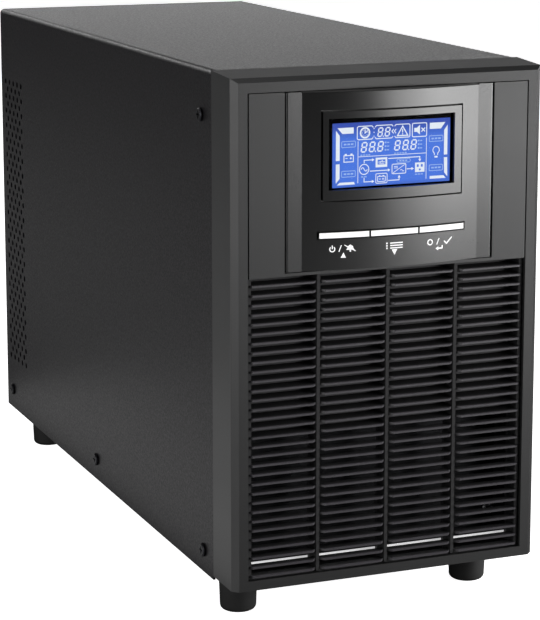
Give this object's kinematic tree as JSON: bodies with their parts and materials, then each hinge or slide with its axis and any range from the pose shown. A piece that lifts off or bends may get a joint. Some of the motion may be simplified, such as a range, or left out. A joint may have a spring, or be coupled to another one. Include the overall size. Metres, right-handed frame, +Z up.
{
  "type": "uninterruptible power supply",
  "caption": "Tower uninterruptible power supply: steel case with side vents, bowed control panel with display and push keys, louvred intake, rear outlets and fans.",
  "frame": {"origin": "centre of the footprint, on the plane the feet stand on", "axes": "+Z up, +Y towards the rear panel, front faces -Y, +X to the right as seen from the front"},
  "size_m": [0.1936, 0.4802, 0.318],
  "materials": {
    "case_paint": "fine textured powder coat, satin",
    "chassis_steel": "zinc plated sheet, satin",
    "bare_zinc": "bright zinc plate",
    "bezel_plastic": "finely grained moulded plastic",
    "grille_plastic": "finely grained moulded plastic",
    "fascia_plastic": "semi gloss moulded plastic",
    "foam": "closed-cell foam",
    "window_clear": "clear acrylic",
    "display_blue": "backlit display",
    "key_white": "satin moulded plastic",
    "black_plastic": "moulded plastic",
    "board_green": "solder mask",
    "rubber_black": "matte",
    "screw_black": "black zinc",
    "screw_zinc": "zinc plated",
    "battery_case": "moulded plastic",
    "link_red": "insulated strap",
    "heatsink_alu": "extruded",
    "capacitor_blue": "sleeve",
    "copper_winding": "enamelled wire",
    "transformer_tape": "taped winding",
    "relay_blue": "moulded plastic",
    "guard_chrome": "bright plated wire",
    "pin_brass": "plated contact",
    "button_red": "moulded plastic",
    "terminal_green": "moulded plastic"
  },
  "bodies": {
    "root": {"case_cover": "case_paint", "base_pan": "chassis_steel", "front_plate": "case_paint", "battery_door": "bare_zinc", "divider_shelf": "chassis_steel", "rear_panel": "case_paint", "bezel_frame": "bezel_plastic", "front_surround": "bezel_plastic", "front_grille": "grille_plastic", "control_fascia": "fascia_plastic", "fascia_seal": "foam", "lcd_frame": "fascia_plastic", "lcd_window": "window_clear", "lcd_panel": "display_blue", "display_board": "board_green", "display_screws": "screw_zinc", "tact_switches": "black_plastic", "display_ribbon": "link_red", "rubber_feet": "rubber_black", "foot_screws": "screw_zinc", "case_screws": "screw_black", "panel_screws": "screw_zinc", "batteries": "battery_case", "battery_rails": "chassis_steel", "battery_links": "link_red", "main_board": "board_green", "board_standoffs": "pin_brass", "heatsinks": "heatsink_alu", "power_transistors": "black_plastic", "bulk_capacitors": "capacitor_blue", "chokes": "copper_winding", "charger_transformer": "transformer_tape", "relays": "relay_blue", "control_board": "board_green", "comms_board": "board_green", "fan_frame_left": "black_plastic", "fan_frame_right": "black_plastic", "fan_guards": "guard_chrome", "fan_screws": "screw_black", "power_inlet": "black_plastic", "inlet_pins": "pin_brass", "outlet_bank": "black_plastic", "outlet_high_current": "black_plastic", "breaker_body": "black_plastic", "ground_screw": "pin_brass", "slot_cover": "case_paint", "usb_port": "screw_zinc", "serial_port": "screw_zinc", "network_jacks": "black_plastic", "epo_terminal": "terminal_green"},
    "up_key": {"key_up": "key_white", "actuator_up": "black_plastic"},
    "down_key": {"key_down": "key_white", "actuator_down": "black_plastic"},
    "enter_key": {"key_enter": "key_white", "actuator_enter": "black_plastic"},
    "reset_button": {"breaker_button": "button_red"},
    "rotor_left": {"fan_rotor_left": "black_plastic"},
    "rotor_right": {"fan_rotor_right": "black_plastic"}
  },
  "joints": [
    {"name": "up_key_press", "type": "slide", "parent": "root", "child": "up_key", "axis": [0, 1, 0], "range_m": [0, 0.0008], "stiffness_N_per_m": 400},
    {"name": "down_key_press", "type": "slide", "parent": "root", "child": "down_key", "axis": [0, 1, 0], "range_m": [0, 0.0008], "stiffness_N_per_m": 400},
    {"name": "enter_key_press", "type": "slide", "parent": "root", "child": "enter_key", "axis": [0, 1, 0], "range_m": [0, 0.0008], "stiffness_N_per_m": 400},
    {"name": "breaker_trip", "type": "slide", "parent": "root", "child": "reset_button", "axis": [0, 1, 0], "range_m": [0, 0.003]},
    {"name": "fan_spin_left", "type": "hinge", "parent": "root", "child": "rotor_left", "pos_m": [-0.044, 0.21, 0.246], "axis": [0, 1, 0], "continuous": true},
    {"name": "fan_spin_right", "type": "hinge", "parent": "root", "child": "rotor_right", "pos_m": [0.044, 0.21, 0.246], "axis": [0, 1, 0], "continuous": true}
  ]
}
